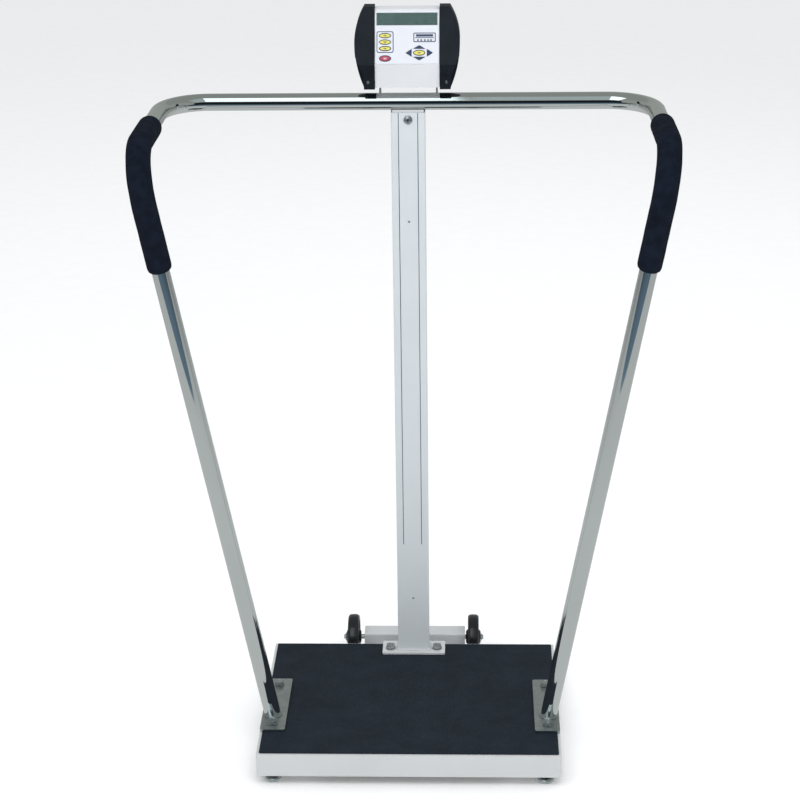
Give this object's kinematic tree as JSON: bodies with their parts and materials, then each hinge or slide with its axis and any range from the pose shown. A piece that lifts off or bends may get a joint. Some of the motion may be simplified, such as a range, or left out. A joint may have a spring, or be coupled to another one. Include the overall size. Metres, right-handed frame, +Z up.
{
  "type": "physician column scale",
  "caption": "Digital column scale: a low rubber-topped platform with a wrap-round chrome handrail, a tilting indicator with a keypad, levelling feet and transport wheels.",
  "frame": {"origin": "on the floor, under the middle of the bounding box", "axes": "+X to the user's right when facing the column, +Y from the user towards the column and wheels, +Z up"},
  "size_m": [0.7656, 0.435, 1.1067],
  "materials": {
    "white_paint": "semi-gloss powder coat",
    "column_paint": "semi-gloss powder coat with thin dark blue pinstripes",
    "mat_rubber": "matte, fine pebbled surface",
    "bare_steel": "mill finish",
    "zinc_plate": "satin zinc plate",
    "chrome_tube": "bright chrome plate",
    "foam_rubber": "matte closed-cell foam",
    "black_plastic": "fine moulded texture",
    "wheel_plastic": "glossy moulded",
    "cap_plastic": "satin moulded",
    "case_plastic": "satin moulded",
    "overlay_film": "satin printed film",
    "display_window": "clear over a grey-green liquid crystal display",
    "aluminium": "machined",
    "circuit_board": "solder mask",
    "key_yellow": "satin printed film",
    "key_red": "satin printed film",
    "key_blue": "satin printed film"
  },
  "bodies": {
    "frame": {"platform_cover": "white_paint", "platform_mat": "mat_rubber", "deck_channel_front": "bare_steel", "load_cell_front_left": "aluminium", "load_cell_front_right": "aluminium", "deck_channel_rear": "bare_steel", "load_cell_rear_left": "aluminium", "load_cell_rear_right": "aluminium", "junction_box": "black_plastic", "column_flange": "white_paint", "column": "column_paint", "column_saddle": "white_paint", "column_top_bolt": "zinc_plate", "column_grommet": "black_plastic", "column_flange_bolt_left": "zinc_plate", "column_flange_bolt_right": "zinc_plate", "handrail_tube": "chrome_tube", "foam_grip_left": "foam_rubber", "handrail_plate_left": "zinc_plate", "handrail_bolt_left_front": "zinc_plate", "handrail_bolt_left_rear": "zinc_plate", "foam_grip_right": "foam_rubber", "handrail_plate_right": "zinc_plate", "handrail_bolt_right_front": "zinc_plate", "handrail_bolt_right_rear": "zinc_plate", "wheel_beam": "white_paint", "wheel_axle": "zinc_plate", "push_nut_left": "zinc_plate", "push_nut_right": "zinc_plate", "indicator_bracket": "zinc_plate"},
    "foot_front_left": {"foot_stud_front_left": "zinc_plate", "foot_pad_front_left": "zinc_plate"},
    "foot_front_right": {"foot_stud_front_right": "zinc_plate", "foot_pad_front_right": "zinc_plate"},
    "foot_rear_left": {"foot_stud_rear_left": "zinc_plate", "foot_pad_rear_left": "zinc_plate"},
    "foot_rear_right": {"foot_stud_rear_right": "zinc_plate", "foot_pad_rear_right": "zinc_plate"},
    "wheel_left": {"wheel_left": "wheel_plastic"},
    "wheel_right": {"wheel_right": "wheel_plastic"},
    "indicator": {"indicator_housing": "case_plastic", "indicator_back_cover": "case_plastic", "keypad_overlay": "overlay_film", "display_lens": "display_window", "lcd_module": "display_window", "circuit_board": "circuit_board", "cable_gland": "black_plastic", "indicator_cap_left": "cap_plastic", "pivot_screw_left": "zinc_plate", "indicator_cap_right": "cap_plastic", "pivot_screw_right": "zinc_plate"},
    "key_yellow_1": {"key_yellow_1": "key_yellow"},
    "key_yellow_2": {"key_yellow_2": "key_yellow"},
    "key_yellow_3": {"key_yellow_3": "key_yellow"},
    "key_red": {"key_red": "key_red"},
    "key_enter": {"key_enter": "key_yellow"},
    "key_arrow_up": {"key_arrow_up": "key_blue"},
    "key_arrow_down": {"key_arrow_down": "key_blue"},
    "key_arrow_left": {"key_arrow_left": "key_blue"},
    "key_arrow_right": {"key_arrow_right": "key_blue"}
  },
  "joints": [
    {"name": "foot_front_left_level", "type": "slide", "parent": "frame", "child": "foot_front_left", "axis": [0, 0, -1], "range_m": [0, 0.008]},
    {"name": "foot_front_right_level", "type": "slide", "parent": "frame", "child": "foot_front_right", "axis": [0, 0, -1], "range_m": [0, 0.008]},
    {"name": "foot_rear_left_level", "type": "slide", "parent": "frame", "child": "foot_rear_left", "axis": [0, 0, -1], "range_m": [0, 0.008]},
    {"name": "foot_rear_right_level", "type": "slide", "parent": "frame", "child": "foot_rear_right", "axis": [0, 0, -1], "range_m": [0, 0.008]},
    {"name": "wheel_left_spin", "type": "hinge", "parent": "frame", "child": "wheel_left", "pos_m": [-0.10155, 0.17999, 0.0433], "axis": [1, 0, 0], "continuous": true},
    {"name": "wheel_right_spin", "type": "hinge", "parent": "frame", "child": "wheel_right", "pos_m": [0.09715, 0.17999, 0.0433], "axis": [1, 0, 0], "continuous": true},
    {"name": "indicator_tilt", "type": "hinge", "parent": "frame", "child": "indicator", "pos_m": [0, 0.15661, 1.0449], "axis": [1, 0, 0], "range_deg": [-25, 6]},
    {"name": "key_yellow_1_press", "type": "slide", "parent": "indicator", "child": "key_yellow_1", "axis": [0, 0.9397, -0.342], "range_m": [0, 0.0005], "stiffness_N_per_m": 600, "springref_m": -0.0008},
    {"name": "key_yellow_2_press", "type": "slide", "parent": "indicator", "child": "key_yellow_2", "axis": [0, 0.9397, -0.342], "range_m": [0, 0.0005], "stiffness_N_per_m": 600, "springref_m": -0.0008},
    {"name": "key_yellow_3_press", "type": "slide", "parent": "indicator", "child": "key_yellow_3", "axis": [0, 0.9397, -0.342], "range_m": [0, 0.0005], "stiffness_N_per_m": 600, "springref_m": -0.0008},
    {"name": "key_red_press", "type": "slide", "parent": "indicator", "child": "key_red", "axis": [0, 0.9397, -0.342], "range_m": [0, 0.0005], "stiffness_N_per_m": 600, "springref_m": -0.0008},
    {"name": "key_enter_press", "type": "slide", "parent": "indicator", "child": "key_enter", "axis": [0, 0.9397, -0.342], "range_m": [0, 0.0005], "stiffness_N_per_m": 600, "springref_m": -0.0008},
    {"name": "key_arrow_up_press", "type": "slide", "parent": "indicator", "child": "key_arrow_up", "axis": [0, 0.9397, -0.342], "range_m": [0, 0.0005], "stiffness_N_per_m": 600, "springref_m": -0.0008},
    {"name": "key_arrow_down_press", "type": "slide", "parent": "indicator", "child": "key_arrow_down", "axis": [0, 0.9397, -0.342], "range_m": [0, 0.0005], "stiffness_N_per_m": 600, "springref_m": -0.0008},
    {"name": "key_arrow_left_press", "type": "slide", "parent": "indicator", "child": "key_arrow_left", "axis": [0, 0.9397, -0.342], "range_m": [0, 0.0005], "stiffness_N_per_m": 600, "springref_m": -0.0008},
    {"name": "key_arrow_right_press", "type": "slide", "parent": "indicator", "child": "key_arrow_right", "axis": [0, 0.9397, -0.342], "range_m": [0, 0.0005], "stiffness_N_per_m": 600, "springref_m": -0.0008}
  ]
}
